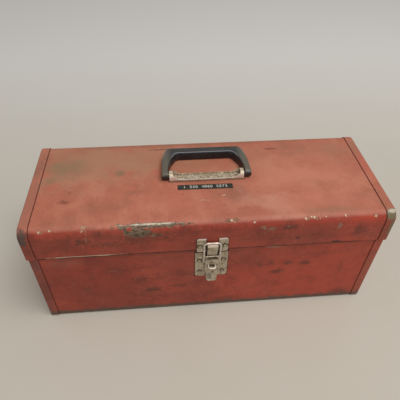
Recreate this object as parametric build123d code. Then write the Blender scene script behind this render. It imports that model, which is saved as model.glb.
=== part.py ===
from build123d import *
import os

os.makedirs("parts", exist_ok=True)

# A folded sheet-metal tool box with a rear piano hinge, a draw latch at the front, a fold-flat
# carry handle and a lift-out tray. Millimetres. X runs along the box, Y to the rear, Z up.
# The origin is at floor level, in the middle of the overall footprint.

# ---- Driving sizes -------------------------------------------------------------------------

lid_length = 483.0           # over the lid's two end caps
body_depth = 172.4           # over the body's front and rear walls
box_height = 187.0           # floor to the top of the lid's end caps
lid_height = 50.0            # top of the lid to its lower edge
sheet = 0.9                  # thickness of every painted sheet
lid_gap = 0.7                # lid to body, at the ends and at the front
rim_rise = 8.0               # how far the body's rim stands up inside the lid
hem_height = 6.0             # folded edge along the body's rim
lid_corner = 13.0            # outside radius of the lid wrapper's long edges
body_corner = 3.0            # outside radius of the body wrapper's long edges
cap_bend = 2.2               # outside radius where an end cap's panel meets its flange
lid_flange = 12.6            # width of a lid end cap's flange
body_flange = 12.0           # width of a body end cap's flange
wrapper_end_gap = 0.6        # end of a wrapper to the bend inside its end cap

# Hinge
leaf_thickness = 0.8
leaf_drop = 20.0             # body leaf, below the pin
leaf_rise = 17.0             # lid leaf, above the pin
leaf_end_gap = 1.0           # end of the hinge to the body's end flange
knuckle_radius = 2.5
knuckle_count = 19
knuckle_gap = 0.35           # between neighbouring knuckles
barrel_gap = 0.3             # barrel to the wall beside it
pin_radius = 1.2
turn_fit = 0.05              # radial clearance of everything that turns on a pin
leaf_notch = 2.3             # a leaf stops this far from the pin beside the other leaf's knuckles
hinge_rivet_count = 6
hinge_rivet_shank = 1.5
hinge_rivet_head = 2.8
hinge_rivet_rise = 0.7       # thickness of a head
body_leaf_rivet_drop = 12.0  # row of rivets, below the pin
lid_leaf_rivet_rise = 10.2   # row of rivets, above the pin

# Rivets everywhere
rivet_fit = 0.05             # radial clearance of a rivet's shank in its holes
rivet_overlap = 0.2          # how deep a shank reaches into its heads
head_rounding = 0.7          # share of a head's thickness that is rounded off
cut_through = 1.0            # how far a cutting shape runs past what it cuts

# Latch, placed from the lid's lower edge and the body's front face
latch_plate = 1.2            # thickness of the keeper and the base plate
keeper_width = 41.5
keeper_above = 22.0          # keeper's top above the lid's lower edge
keeper_below = 2.5           # keeper's bottom below the lid's lower edge
keeper_corner = 2.5
keeper_notch = 17.0          # width of the gap between the keeper's ears
keeper_rivet_span = 33.6
keeper_rivet_height = 8.6    # above the lid's lower edge
hook_width = 13.6
hook_sheet = 1.1
hook_lip = 0.9               # lip of the hook above its shelf
hook_drop = 8.0              # hook's lower end below the lid's lower edge
hook_root_gap = 0.3          # hook's lower end to the plane of the keeper's face
wire_radius = 1.3            # latch loop
wire_gap = 0.35              # loop to the keeper's face and to the hook's shelf
wire_travel = 2.3            # free depth in the hook in front of the loop's bar
loop_inner_width = 19.0
loop_bar_height = 15.2       # bar's centre above the lid's lower edge
loop_corner = 4.6
loop_joggle = 16.0           # height over which the loop's legs step outwards
wire_end_proud = 0.3         # how far the wire's ends pass through the lever's cheeks
wire_end_bend = 1.7
wire_joggle_bend = 8.0
latch_pin_proud = 0.2        # how far the lever's pin stands out of its cheeks
latch_rivet_shank = 1.6
latch_rivet_head = 3.1
latch_stud_head = 2.2
latch_rivet_rise = 0.9
base_width = 45.0
base_top = 8.2               # below the lid's lower edge
base_bottom = 58.5           # below the lid's lower edge
base_corner = 5.0
base_rivet_span = 33.2
base_rivet_drop = 24.0       # upper pair, below the lid's lower edge
base_stud_span = 31.0
base_stud_drop = 48.0        # lower pair, below the lid's lower edge
lever_pivot_out = 4.4        # lever's pivot in front of the body's face
lever_pivot_drop = 12.5      # lever's pivot below the lid's lower edge
loop_pivot_out = 3.6
loop_pivot_drop = 23.5
boss_radius = 2.4            # metal round the lever's pivot
lug_inner = 6.2              # inside face of the base plate's lugs, from the middle
lug_thickness = 1.2
lever_width = 18.0
lever_sheet = 1.2
lever_out = 5.6              # inside face of the lever's plate, in front of the body's face
lever_top_drop = 17.1        # top edge of the lever's plate, below the lid's lower edge
lever_cheek_drop = 40.0      # lower end of the lever's cheeks
lever_cheek_gap = 0.8        # cheek to the base plate
lever_tab_drop = 42.5        # where the tab starts to lean out
lever_tip_drop = 60.0
lever_tab_width = 14.8
lever_tab_lean = 3.0
lever_tab_corner = 4.5
lever_slot_top = 26.5        # below the lid's lower edge
lever_slot_bottom = 33.0
lever_slot_width = 13.2
staple_drop = 28.0           # padlock staple, below the lid's lower edge
staple_width = 12.0
staple_reach = 14.0          # front of the staple, from the body's face
staple_wire = 1.2
staple_bend = 2.6

# Carry handle, folded back flat
handle_pivot_rise = 7.2      # pivot above the lid's top
handle_half_thickness = 6.5
handle_leg_outer = 62.5      # from the middle, at the pivot
handle_leg_gap = 0.4         # leg to the base's ear
handle_top_outer = 55.5      # from the middle, at the grip's outer edge
handle_reach = 54.5          # pivot to the grip's outer edge
handle_grip = 12.6           # width of the grip
handle_corner = 9.0
handle_inner_top = 40.5      # half width of the opening at the grip
handle_shoulder = 26.0       # pivot to where the opening starts to narrow
handle_edge = 3.2            # rounding of the long edges
handle_pin_radius = 2.0
handle_pin_head = 2.7
handle_pin_head_rise = 1.0
handle_pin_depth = 8.0       # how far a pin goes into its leg
handle_pin_end_gap = 0.4
base_channel_length = 104.0  # over the ears
base_channel_width = 14.5
base_channel_sheet = 1.2
base_lip_height = 3.0
base_ear_height = 11.4
base_ear_top = 5.0           # width of an ear's flat top
base_ear_round = 5.5         # outside radius of an ear's top, seen from the side
base_sweep_start = 17.0      # from the ear's outer face to where the lip starts to rise
handle_rivet_places = (-38.0, -14.0, 14.0, 38.0)
handle_rivet_shank = 1.7
handle_rivet_head = 3.2
handle_rivet_rise = 0.9
backing_length = 100.0
backing_width = 18.0
backing_sheet = 1.2

# Label tape
label_length = 76.0
label_width = 9.6
label_thickness = 0.3
label_left = 3.5             # label's middle, left of the lid's middle
label_front = 20.0           # label's middle, in front of the lid's middle
label_turn = 0.8             # degrees

# Tray
tray_sheet = 0.8
tray_end_gap = 3.0           # tray to the body's end panel
tray_side_gap = 2.6          # tray to the hem
tray_top_drop = 4.0          # tray's rim below the body's rim
tray_height = 42.0
tray_corner = 3.0
tray_rest_width = 13.0
tray_rest_leg = 14.0
tray_rest_sheet = 1.2
tray_rest_gap = 0.2          # tray to its rests
tray_rest_inset = 8.0        # end of a rest to the body's wall
tray_divider_place = 118.0   # from the middle
tray_divider_drop = 6.0      # top of a divider below the tray's rim
tray_divider_foot = 10.0
tray_handle_span = 96.0
tray_handle_width = 16.0
tray_handle_sheet = 1.6
tray_handle_rise = 15.0      # above the tray's rim
tray_handle_foot = 14.0
tray_handle_corner = 8.0
tray_rivet_shank = 1.6
tray_rivet_head = 3.0
tray_rivet_rise = 0.8

# ---- Places worked out from them -----------------------------------------------------------

seam_z = box_height - lid_height
rim_z = seam_z + rim_rise
body_face_x = lid_length / 2 - sheet - lid_gap
lid_face_x = lid_length / 2
pin_behind_body = barrel_gap + knuckle_radius
lid_behind_body = 2 * pin_behind_body + 2 * sheet
body_y = (staple_reach - lid_behind_body) / 2
body_front_y = body_y - body_depth / 2
body_rear_y = body_y + body_depth / 2
pin_y = body_rear_y + pin_behind_body
lid_front_y = body_front_y - 2 * sheet - lid_gap
lid_rear_y = pin_y + pin_behind_body + sheet
lid_y = (lid_front_y + lid_rear_y) / 2
lid_top_z = box_height - sheet
lid_ceiling_z = lid_top_z - sheet
handle_y = lid_y
handle_z = lid_top_z + handle_pivot_rise
ear_x = base_channel_length / 2
keeper_rivet_z = seam_z + keeper_rivet_height
base_rivet_z = seam_z - base_rivet_drop
base_stud_z = seam_z - base_stud_drop
keeper_face = lid_gap + 2 * sheet + latch_plate
shelf_z = seam_z + loop_bar_height - wire_radius - wire_gap
bar_out = keeper_face + wire_gap + wire_radius
hook_out = bar_out + wire_radius + wire_travel + hook_sheet
lever_pivot_z = seam_z - lever_pivot_drop
loop_pivot_z = seam_z - loop_pivot_drop
leg_x = loop_inner_width / 2 + wire_radius
hinge_end = body_face_x - body_flange - leaf_end_gap
knuckle_pitch = 2 * hinge_end / knuckle_count
rivet_pitch = 2 * hinge_end / hinge_rivet_count
hinge_rivet_xs = [rivet_pitch * (i + 0.5) - hinge_end for i in range(hinge_rivet_count)]
body_rivet_z = seam_z - body_leaf_rivet_drop
lid_rivet_z = seam_z + lid_leaf_rivet_rise
tray_low_z = rim_z - tray_top_drop - tray_height
tray_top_z = rim_z - tray_top_drop
tray_end_x = body_face_x - sheet - tray_end_gap
tray_front_y = body_front_y + 2 * sheet + tray_side_gap
tray_rear_y = body_rear_y - 2 * sheet - tray_side_gap
tray_floor_z = tray_low_z + tray_sheet
handle_foot_x = tray_handle_span / 2 + tray_handle_foot / 2


# ---- Shapes used more than once ------------------------------------------------------------

def cross_section(front, rear, low, high, radius, rounded):
    """A rectangle across the box, rounded at its top or at its bottom corners."""
    flat = Pos((front + rear) / 2, (low + high) / 2) * Rectangle(rear - front, high - low)
    corners = flat.vertices().sort_by(Axis.Y)
    chosen = corners[-2:] if rounded == "top" else corners[:2]
    return fillet(chosen, radius)


def along_x(profile, start, end):
    """A cross-section, drawn in Y and Z, drawn out along X."""
    return extrude(Plane.YZ.offset(start) * profile, amount=end - start)


def block(x0, x1, y0, y1, z0, z1):
    """A box between two corners."""
    middle = Pos((x0 + x1) / 2, (y0 + y1) / 2, (z0 + z1) / 2)
    return middle * Box(x1 - x0, y1 - y0, z1 - z0)


def rod_x(x0, x1, y, z, radius):
    """A round bar along X."""
    return Pos((x0 + x1) / 2, y, z) * Rot(0, 90, 0) * Cylinder(radius, x1 - x0)


def both_sides(piece):
    """A piece and its mirror image on the other side of the middle."""
    return piece, mirror(piece, Plane.YZ)


def domed_head(place, radius, rise):
    """A rivet's head: a low dome that stands on the plane at place, towards its +Z."""
    head = place * Pos(0, 0, rise / 2) * Cylinder(radius, rise)
    circles = head.edges().filter_by(GeomType.CIRCLE)
    rim = circles.sort_by(lambda edge: (place.inverse() * edge).center().Z)[-1]
    return fillet(rim, rise * head_rounding)


def rivet(place, grip, shank, head, rise):
    """A rivet with its outer head standing on place and its shank going down through grip."""
    outer = domed_head(place, head, rise)
    inner = domed_head(place * Pos(0, 0, -grip) * Rot(180, 0, 0), head, rise)
    stem = place * Pos(0, 0, -grip / 2) * Cylinder(shank, grip + 2 * rivet_overlap)
    return outer + stem + inner


# ---- Body and lid shells -------------------------------------------------------------------

def body_wrapper():
    """Front wall, bottom and rear wall from one sheet, with the rim folded over inside."""
    end = body_face_x - cap_bend - wrapper_end_gap
    outer = cross_section(body_front_y, body_rear_y, sheet, rim_z, body_corner, "bottom")
    inside_front = body_front_y + sheet
    inside_rear = body_rear_y - sheet
    inner = cross_section(
        inside_front, inside_rear, 2 * sheet, rim_z + sheet, body_corner - sheet, "bottom"
    )
    shell = along_x(outer, -end, end) - along_x(inner, -end - sheet, end + sheet)
    hem_end = body_face_x - body_flange
    for wall in (inside_front, inside_rear - sheet):
        shell += block(-hem_end, hem_end, wall, wall + sheet, rim_z - hem_height, rim_z)
    return shell


def body_end():
    """The right end of the body: a panel with a flange folded round the wrapper."""
    start = body_face_x - body_flange
    outer = along_x(
        cross_section(
            body_front_y - sheet, body_rear_y + sheet, 0, rim_z, body_corner + sheet, "bottom"
        ),
        start,
        body_face_x,
    )
    bend = outer.faces().sort_by(Axis.X)[-1].edges().sort_by(Axis.Z)[:-1]
    outer = fillet(bend, cap_bend)
    inner = along_x(
        cross_section(body_front_y, body_rear_y, sheet, rim_z + body_flange, body_corner, "bottom"),
        start - body_flange,
        body_face_x - sheet,
    )
    bend = inner.faces().sort_by(Axis.X)[-1].edges().sort_by(Axis.Z)[:-1]
    return outer - fillet(bend, cap_bend - sheet)


def lid_wrapper():
    """Front wall, top and rear wall of the lid from one sheet."""
    end = lid_face_x - cap_bend - wrapper_end_gap
    outer = cross_section(lid_front_y, lid_rear_y, seam_z, lid_top_z, lid_corner, "top")
    inner = cross_section(
        lid_front_y + sheet, lid_rear_y - sheet, seam_z - sheet, lid_ceiling_z, lid_corner - sheet, "top"
    )
    return along_x(outer, -end, end) - along_x(inner, -end - sheet, end + sheet)


def lid_end():
    """The right end of the lid: a panel with a flange folded over the wrapper."""
    start = lid_face_x - lid_flange
    outer = along_x(
        cross_section(
            lid_front_y - sheet, lid_rear_y + sheet, seam_z, box_height, lid_corner + sheet, "top"
        ),
        start,
        lid_face_x,
    )
    bend = outer.faces().sort_by(Axis.X)[-1].edges().sort_by(Axis.Z)[1:]
    outer = fillet(bend, cap_bend)
    inner = along_x(
        cross_section(lid_front_y, lid_rear_y, seam_z - lid_flange, lid_top_z, lid_corner, "top"),
        start - lid_flange,
        lid_face_x - sheet,
    )
    bend = inner.faces().sort_by(Axis.X)[-1].edges().sort_by(Axis.Z)[1:]
    return outer - fillet(bend, cap_bend - sheet)


# ---- Rivets and their holes ----------------------------------------------------------------

def out_of_front(x, y, z):
    """A place on a front face, with its +Z towards the person who opens the box."""
    return Pos(x, y, z) * Rot(90, 0, 0)


def out_of_rear(x, y, z):
    """A place on a rear face, with its +Z away from the box."""
    return Pos(x, y, z) * Rot(-90, 0, 0)


def out_of_top(x, y, z):
    """A place on a level face, with its +Z up."""
    return Pos(x, y, z)


keeper_rivet_places = [
    out_of_front(x, body_front_y - keeper_face, keeper_rivet_z)
    for x in (-keeper_rivet_span / 2, keeper_rivet_span / 2)
]
base_rivet_places = [
    out_of_front(x, body_front_y - latch_plate, base_rivet_z)
    for x in (-base_rivet_span / 2, base_rivet_span / 2)
]
base_stud_places = [
    out_of_front(x, body_front_y - latch_plate, base_stud_z)
    for x in (-base_stud_span / 2, base_stud_span / 2)
]
body_hinge_places = [
    out_of_rear(x, body_rear_y + leaf_thickness, body_rivet_z) for x in hinge_rivet_xs
]
lid_hinge_places = [out_of_rear(x, lid_rear_y, lid_rivet_z) for x in hinge_rivet_xs]
handle_base_places = [
    out_of_top(x, handle_y, lid_top_z + base_channel_sheet) for x in handle_rivet_places
]
tray_handle_places = [
    out_of_top(x, body_y, tray_floor_z + tray_handle_sheet) for x in (-handle_foot_x, handle_foot_x)
]

front_grip = sheet + latch_plate
rear_grip = sheet + leaf_thickness
top_grip = base_channel_sheet + sheet + backing_sheet
tray_grip = tray_sheet + tray_handle_sheet

# Each rivet's shank radius, head radius and head thickness
hinge_rivet_sizes = (hinge_rivet_shank, hinge_rivet_head, hinge_rivet_rise)
latch_rivet_sizes = (latch_rivet_shank, latch_rivet_head, latch_rivet_rise)
latch_stud_sizes = (latch_rivet_shank, latch_stud_head, latch_rivet_rise)
handle_rivet_sizes = (handle_rivet_shank, handle_rivet_head, handle_rivet_rise)
tray_rivet_sizes = (tray_rivet_shank, tray_rivet_head, tray_rivet_rise)


def holes(places, shank, grip):
    """What a row of rivets takes out of the sheets that it holds."""
    tool_length = 2 * (grip + cut_through)
    return [place * Cylinder(shank + rivet_fit, tool_length) for place in places]


def rivets(places, grip, shank, head, rise):
    """A row of like rivets."""
    return Compound(children=[rivet(place, grip, shank, head, rise) for place in places])


# ---- Rear hinge ----------------------------------------------------------------------------

def knuckles(first):
    """Every second knuckle along the barrel, bored for the pin."""
    barrel = None
    for i in range(first, knuckle_count, 2):
        start = -hinge_end + i * knuckle_pitch + knuckle_gap / 2
        piece = rod_x(start, start + knuckle_pitch - knuckle_gap, pin_y, seam_z, knuckle_radius)
        barrel = piece if barrel is None else barrel + piece
    return barrel - rod_x(-lid_face_x, lid_face_x, pin_y, seam_z, pin_radius + turn_fit)


def leaf(wall_y, low, high, first, notch_low, notch_high):
    """A leaf from low to high, cut back beside the other leaf's knuckles, with its own knuckles."""
    plate = block(-hinge_end, hinge_end, wall_y, wall_y + leaf_thickness, low, high)
    for i in range(1 - first, knuckle_count, 2):
        start = -hinge_end + i * knuckle_pitch - knuckle_gap / 2
        end = start + knuckle_pitch + knuckle_gap
        beyond = wall_y + leaf_thickness + sheet
        plate -= block(start, end, wall_y - sheet, beyond, notch_low, notch_high)
    bore = rod_x(-lid_face_x, lid_face_x, pin_y, seam_z, pin_radius + turn_fit)
    return plate - bore + knuckles(first)


def body_leaf():
    """The hinge leaf on the outside of the body's rear wall."""
    plate = leaf(body_rear_y, seam_z - leaf_drop, seam_z, 0, seam_z - leaf_notch, seam_z + sheet)
    return plate - holes(body_hinge_places, hinge_rivet_shank, rear_grip)


def lid_leaf():
    """The hinge leaf on the inside of the lid's rear wall."""
    wall_y = lid_rear_y - sheet - leaf_thickness
    plate = leaf(wall_y, seam_z, seam_z + leaf_rise, 1, seam_z - sheet, seam_z + leaf_notch)
    return plate - holes(lid_hinge_places, hinge_rivet_shank, rear_grip)


# ---- Latch ---------------------------------------------------------------------------------

def front_plate(width, out, thickness, low, high):
    """A plate on the front, its back face a given distance out from the body's front face."""
    back = body_front_y - out
    return block(-width / 2, width / 2, back - thickness, back, low, high)


def side_profile(points, width):
    """A profile drawn as distance out from the body's face and height, made width wide."""
    outline = Polyline(*[(body_front_y - out, z) for out, z in points], close=True)
    return along_x(make_face(outline), -width / 2, width / 2)


def keeper():
    """The plate on the lid, two ears with the hook's shelf and lip between them."""
    out = lid_gap + 2 * sheet
    low = seam_z - keeper_below
    high = seam_z + keeper_above
    plate = front_plate(keeper_width, out, latch_plate, low, high)
    plate = fillet(plate.edges().filter_by(Axis.Y), keeper_corner)
    plate -= front_plate(keeper_notch, out - sheet, latch_plate + 2 * sheet, shelf_z, high + sheet)
    lip_z = shelf_z + hook_lip
    low_z = seam_z - hook_drop
    root = keeper_face + hook_root_gap
    inner = hook_out - hook_sheet
    wall = side_profile(
        [
            (hook_out, lip_z),
            (hook_out, shelf_z - 2 * hook_sheet),
            (root + hook_sheet, low_z),
            (root, low_z),
            (inner, shelf_z - 2 * hook_sheet),
            (inner, lip_z),
        ],
        hook_width,
    )
    shelf = front_plate(hook_width, keeper_face, inner - keeper_face, shelf_z - hook_sheet, shelf_z)
    return plate + shelf + wall - holes(keeper_rivet_places, latch_rivet_shank, front_grip)


def latch_base():
    """The plate on the body, with two lugs that carry the lever's pin."""
    low = seam_z - base_bottom
    high = seam_z - base_top
    plate = front_plate(base_width, 0, latch_plate, low, high)
    plate = fillet(plate.edges().filter_by(Axis.Y).sort_by(Axis.Z)[:2], base_corner)
    pin_line = body_front_y - lever_pivot_out
    for x in (-lug_inner - lug_thickness, lug_inner):
        low_z = lever_pivot_z - boss_radius
        high_z = lever_pivot_z + boss_radius
        arm = block(x, x + lug_thickness, pin_line, body_front_y, low_z, high_z)
        plate += arm + rod_x(x, x + lug_thickness, pin_line, lever_pivot_z, boss_radius)
    plate -= rod_x(-lever_width, lever_width, pin_line, lever_pivot_z, pin_radius + turn_fit)
    plate -= holes(base_rivet_places, latch_rivet_shank, front_grip)
    return plate - holes(base_stud_places, latch_rivet_shank, front_grip)


def lever_pin():
    """The pin through the lugs and the lever's cheeks."""
    half = lever_width / 2 + latch_pin_proud
    return rod_x(-half, half, body_front_y - lever_pivot_out, lever_pivot_z, pin_radius)


def staple():
    """The padlock staple: a square-cornered loop of wire that stands out from the base plate."""
    half = staple_width / 2 - staple_wire
    front = body_front_y - staple_reach + staple_wire
    foot = body_front_y - latch_plate
    z = seam_z - staple_drop
    corners = [(-half, foot, z), (-half, front, z), (half, front, z), (half, foot, z)]
    path = FilletPolyline(*corners, radius=staple_bend)
    return sweep(Plane(path @ 0, z_dir=path % 0) * Circle(staple_wire), path=path)


def lever():
    """The pressed lever: a plate with a slot for the staple, two cheeks and a leaning thumb tab."""
    inside = lever_out
    outside = lever_out + lever_sheet
    top = seam_z - lever_top_drop
    tab = seam_z - lever_tab_drop
    tip = seam_z - lever_tip_drop
    plate = side_profile([(inside, top), (outside, top), (outside, tab), (inside, tab)], lever_width)
    lean_points = [
        (inside, tab),
        (outside, tab),
        (outside + lever_tab_lean, tip),
        (inside + lever_tab_lean, tip),
    ]
    lean = side_profile(lean_points, lever_tab_width)
    tip_edges = lean.edges().sort_by(Axis.Z)[:4].filter_by(Axis.X, reverse=True)
    lean = fillet(tip_edges, lever_tab_corner)
    cheek_back = latch_plate + lever_cheek_gap
    pin_line = body_front_y - lever_pivot_out
    cheek_low = seam_z - lever_cheek_drop
    for x in (-lever_width / 2, lever_width / 2 - lever_sheet):
        front = body_front_y - inside
        rear = body_front_y - cheek_back
        cheek = block(x, x + lever_sheet, front, rear, cheek_low, lever_pivot_z)
        plate += cheek + rod_x(x, x + lever_sheet, pin_line, lever_pivot_z, boss_radius)
    plate += lean
    slot_low = seam_z - lever_slot_bottom
    slot_high = seam_z - lever_slot_top
    through = lever_sheet + 2 * cut_through
    plate -= front_plate(lever_slot_width, inside - cut_through, through, slot_low, slot_high)
    plate -= rod_x(-lever_width, lever_width, pin_line, lever_pivot_z, pin_radius + turn_fit)
    loop_line = body_front_y - loop_pivot_out
    return plate - rod_x(-lever_width, lever_width, loop_line, loop_pivot_z, wire_radius + turn_fit)


def loop():
    """The wire loop: its ends turn in through the lever's cheeks, its bar drops into the hook."""
    pivot_y = body_front_y - loop_pivot_out
    bar_y = body_front_y - bar_out
    bar_z = seam_z + loop_bar_height
    end_x = lever_width / 2 - lever_sheet - wire_end_proud
    joggle_z = loop_pivot_z + loop_joggle
    corners = [
        (end_x, pivot_y, loop_pivot_z),
        (leg_x, pivot_y, loop_pivot_z),
        (leg_x, bar_y, joggle_z),
        (leg_x, bar_y, bar_z),
    ]
    points = corners + [(-x, y, z) for x, y, z in reversed(corners)]
    bends = [wire_end_bend, wire_joggle_bend, loop_corner]
    path = FilletPolyline(*points, radius=bends + bends[::-1])
    return sweep(Plane(path @ 0, z_dir=path % 0) * Circle(wire_radius), path=path)


# ---- Carry handle --------------------------------------------------------------------------

def handle():
    """The moulded carry handle: two legs and a grip, narrowing towards the grip."""
    front = handle_y - handle_half_thickness
    top = handle_y + handle_reach
    inner_leg = ear_x + handle_leg_gap
    inner_top = top - handle_grip
    outline = Polyline(
        (-handle_leg_outer, front),
        (-handle_leg_outer, handle_y),
        (-handle_top_outer, top),
        (handle_top_outer, top),
        (handle_leg_outer, handle_y),
        (handle_leg_outer, front),
        (inner_leg, front),
        (inner_leg, handle_y + handle_shoulder),
        (handle_inner_top, inner_top),
        (-handle_inner_top, inner_top),
        (-inner_leg, handle_y + handle_shoulder),
        (-inner_leg, front),
        close=True,
    )
    plan = make_face(outline)
    far = plan.vertices().sort_by(Axis.Y)[-2:]
    plan = fillet(far, handle_corner)
    low = handle_z - handle_half_thickness
    body = extrude(Plane.XY.offset(low) * plan, amount=2 * handle_half_thickness)
    body = fillet(body.edges().filter_by(Plane.XY), handle_edge)
    round_end = rod_x(-lid_face_x, lid_face_x, handle_y, handle_z, handle_half_thickness)
    high = handle_z + handle_half_thickness
    beyond = block(-lid_face_x, lid_face_x, handle_y, top + cut_through, low, high)
    body = body & (round_end + beyond)
    for side in (-1, 1):
        ends = [
            side * (inner_leg - cut_through),
            side * (inner_leg + handle_pin_depth + handle_pin_end_gap),
        ]
        body -= rod_x(min(ends), max(ends), handle_y, handle_z, handle_pin_radius + turn_fit)
    return body


def handle_pins():
    """The two headed pins, fixed in the base's ears, that the handle turns on."""
    ear_inside = ear_x - base_channel_sheet
    tip = ear_x + handle_leg_gap + handle_pin_depth
    pin = rod_x(ear_inside, tip, handle_y, handle_z, handle_pin_radius)
    head = rod_x(ear_inside - handle_pin_head_rise, ear_inside, handle_y, handle_z, handle_pin_head)
    return Compound(children=list(both_sides(pin + head)))


def round_topped(low_x, high_x, low_z, inset):
    """A block as wide as the handle's channel, less the inset, whose top is rounded like the ears."""
    half = base_channel_width / 2 - inset
    high_z = lid_top_z + base_ear_height - inset
    shape = block(low_x, high_x, handle_y - half, handle_y + half, low_z, high_z)
    return fillet(shape.edges().filter_by(Axis.X).group_by(Axis.Z)[-1], base_ear_round - inset)


def handle_base():
    """The pressed channel: a floor, two low lips that sweep up to the ears, and an ear at each end."""
    front = handle_y - base_channel_width / 2
    rear = handle_y + base_channel_width / 2
    floor = block(-ear_x, ear_x, front, rear, lid_top_z, lid_top_z + base_channel_sheet)
    ear_z = lid_top_z + base_ear_height
    lip_z = lid_top_z + base_lip_height
    sweep_x = ear_x - base_sweep_start
    ear_in = ear_x - base_ear_top
    rise = Bezier((ear_in, ear_z), (ear_in - base_ear_top, lip_z), (sweep_x, lip_z))
    outline = rise + Line((sweep_x, lip_z), (-sweep_x, lip_z))
    outline += Bezier((-sweep_x, lip_z), (-ear_in + base_ear_top, lip_z), (-ear_in, ear_z))
    outline += Polyline(
        (-ear_in, ear_z),
        (-ear_x, ear_z),
        (-ear_x, lid_top_z),
        (ear_x, lid_top_z),
        (ear_x, ear_z),
        (ear_in, ear_z),
    )
    lip = make_face(outline)
    for y in (front + base_channel_sheet, rear):
        wall = extrude(Plane.XZ.offset(-y) * lip, amount=base_channel_sheet)
        floor += wall & round_topped(-ear_x, ear_x, lid_top_z, 0.0)
    for side in (-1, 1):
        outside = side * ear_x
        inside = side * ear_in
        ear = round_topped(min(outside, inside), max(outside, inside), lid_top_z, 0.0)
        outside = side * (ear_x - base_channel_sheet)
        inside = side * (ear_in - cut_through)
        hollow_low = lid_top_z + base_channel_sheet
        ear -= round_topped(min(outside, inside), max(outside, inside), hollow_low, base_channel_sheet)
        floor += ear
    floor -= rod_x(-lid_face_x, lid_face_x, handle_y, handle_z, handle_pin_radius + turn_fit)
    return floor - holes(handle_base_places, handle_rivet_shank, top_grip)


def backing_plate():
    """The plate under the lid's top that spreads the handle's load."""
    front = handle_y - backing_width / 2
    rear = front + backing_width
    half = backing_length / 2
    plate = block(-half, half, front, rear, lid_ceiling_z - backing_sheet, lid_ceiling_z)
    return plate - holes(handle_base_places, handle_rivet_shank, top_grip)


def label():
    """The strip of embossing tape on the lid."""
    strip = Box(label_length, label_width, label_thickness)
    middle = Pos(-label_left, lid_y - label_front, lid_top_z + label_thickness / 2)
    return middle * Rot(0, 0, -label_turn) * strip


# ---- Tray ----------------------------------------------------------------------------------

def tray_pan():
    """The lift-out tray's floor and four walls."""
    middle = (tray_front_y + tray_rear_y) / 2
    depth = tray_rear_y - tray_front_y
    length = 2 * tray_end_x
    outside = Pos(0, middle, tray_low_z + tray_height / 2) * Box(length, depth, tray_height)
    lowest = outside.faces().sort_by(Axis.Z)[0].edges()
    outside = fillet(outside.edges().filter_by(Axis.Z) + lowest, tray_corner)
    wall = 2 * tray_sheet
    room = Box(length - wall, depth - wall, tray_height)
    inside = Pos(0, middle, tray_floor_z + tray_height / 2) * room
    lowest = inside.faces().sort_by(Axis.Z)[0].edges()
    inside = fillet(inside.edges().filter_by(Axis.Z) + lowest, tray_corner - tray_sheet)
    return outside - inside - holes(tray_handle_places, tray_rivet_shank, tray_grip)


def tray_divider():
    """The right divider: a low wall with a foot along the tray's floor."""
    front = tray_front_y + tray_corner
    rear = tray_rear_y - tray_corner
    x = tray_divider_place
    wall = block(x, x + tray_sheet, front, rear, tray_floor_z, tray_top_z - tray_divider_drop)
    return wall + block(x, x + tray_divider_foot, front, rear, tray_floor_z, tray_floor_z + tray_sheet)


def tray_handle():
    """The strap that the tray is lifted by: two feet, two uprights and a bar."""
    half = tray_handle_span / 2
    top = tray_top_z + tray_handle_rise
    path = FilletPolyline(
        (-half - tray_handle_foot, tray_floor_z + tray_handle_sheet / 2),
        (-half, tray_floor_z + tray_handle_sheet / 2),
        (-half, top - tray_handle_sheet / 2),
        (half, top - tray_handle_sheet / 2),
        (half, tray_floor_z + tray_handle_sheet / 2),
        (half + tray_handle_foot, tray_floor_z + tray_handle_sheet / 2),
        radius=[tray_handle_sheet, tray_handle_corner, tray_handle_corner, tray_handle_sheet],
    )
    strip = trace(path, line_width=tray_handle_sheet)
    rear = body_y + tray_handle_width / 2
    strap = extrude(Plane.XZ.offset(-rear) * strip, amount=tray_handle_width)
    return strap - holes(tray_handle_places, tray_rivet_shank, tray_grip)


def tray_rest():
    """The right rest: an angle on the end panel, its level leg under the tray."""
    wall = body_face_x - sheet
    top = tray_low_z - tray_rest_gap
    front = body_front_y + tray_rest_inset
    rear = body_rear_y - tray_rest_inset
    level = block(wall - tray_rest_width, wall, front, rear, top - tray_rest_sheet, top)
    upright = block(wall - tray_rest_sheet, wall, front, rear, top - tray_rest_leg, top)
    return level + upright


# ---- Every piece, by name ------------------------------------------------------------------

front_wall_holes = holes(base_rivet_places, latch_rivet_shank, front_grip)
front_wall_holes += holes(base_stud_places, latch_rivet_shank, front_grip)
rear_wall_holes = holes(body_hinge_places, hinge_rivet_shank, rear_grip)
lid_holes = holes(keeper_rivet_places, latch_rivet_shank, front_grip)
lid_holes += holes(lid_hinge_places, hinge_rivet_shank, rear_grip)
lid_holes += holes(handle_base_places, handle_rivet_shank, top_grip)

right_end, left_end = both_sides(body_end())
right_lid_end, left_lid_end = both_sides(lid_end())
right_rest, left_rest = both_sides(tray_rest())
right_divider, left_divider = both_sides(tray_divider())

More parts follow.
